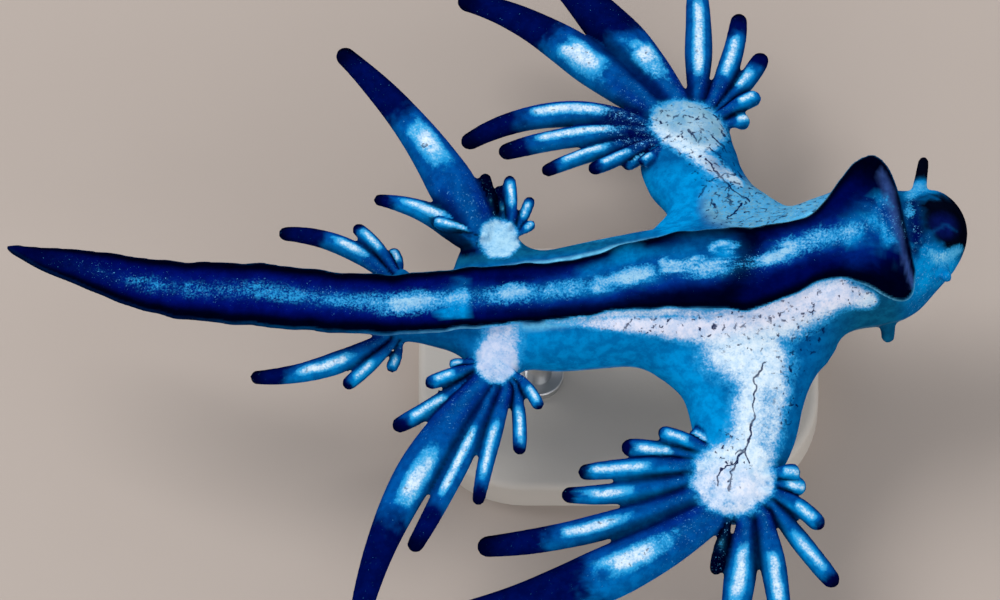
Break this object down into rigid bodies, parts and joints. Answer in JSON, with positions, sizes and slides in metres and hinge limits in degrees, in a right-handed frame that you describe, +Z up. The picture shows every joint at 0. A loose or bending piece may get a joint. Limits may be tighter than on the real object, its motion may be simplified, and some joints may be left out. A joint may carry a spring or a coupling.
{
  "type": "blue dragon sea slug model",
  "caption": "Still life-size model of a blue sea slug floating foot side up, fans of cerata spread, held by a flat base and short rods.",
  "frame": {"origin": "middle of the underside of the stand's base", "axes": "+X towards the snout, +Y towards the animal's right flank (the picture's upper side), +Z up; the slug floats foot side up, so the sole faces +Z and its back faces down"},
  "size_m": [0.0357, 0.0303, 0.0098],
  "materials": {
    "flank_skin": "wet soft skin, azure with silver-white speckle",
    "sole_skin": "wet soft skin, navy with a pale speckled middle band",
    "cerata_skin": "wet soft skin, blue with silver crest and dark tips",
    "stand_paint": "matt pale paint",
    "stand_rod": "satin"
  },
  "bodies": {
    "root": {"head": "flank_skin", "oral_tentacle_left": "flank_skin", "oral_tentacle_right": "flank_skin", "rhinophore_left": "flank_skin", "rhinophore_right": "flank_skin", "trunk_front": "flank_skin", "trunk_rear": "flank_skin", "tail_base": "flank_skin", "tail_tip": "flank_skin", "foot_front": "sole_skin", "foot_middle": "sole_skin", "foot_rear": "sole_skin", "arm_front_left": "flank_skin", "arm_front_right": "flank_skin", "arm_middle_left": "flank_skin", "arm_middle_right": "flank_skin", "arm_rear_left": "cerata_skin", "arm_rear_right": "cerata_skin", "palm_front_left_fore": "cerata_skin", "palm_front_left_rear": "cerata_skin", "palm_front_right_fore": "cerata_skin", "palm_front_right_rear": "cerata_skin", "ceras_front_left_1": "cerata_skin", "ceras_front_left_2": "cerata_skin", "ceras_front_right_1": "cerata_skin", "ceras_front_right_2": "cerata_skin", "ceras_front_right_3": "cerata_skin", "ceras_middle_left_1": "cerata_skin", "ceras_middle_left_2": "cerata_skin", "ceras_middle_right_1": "cerata_skin", "ceras_middle_right_2": "cerata_skin", "stand_base": "stand_paint", "stand_rod_front": "stand_rod", "stand_rod_rear": "stand_rod"}
  },
  "joints": []
}
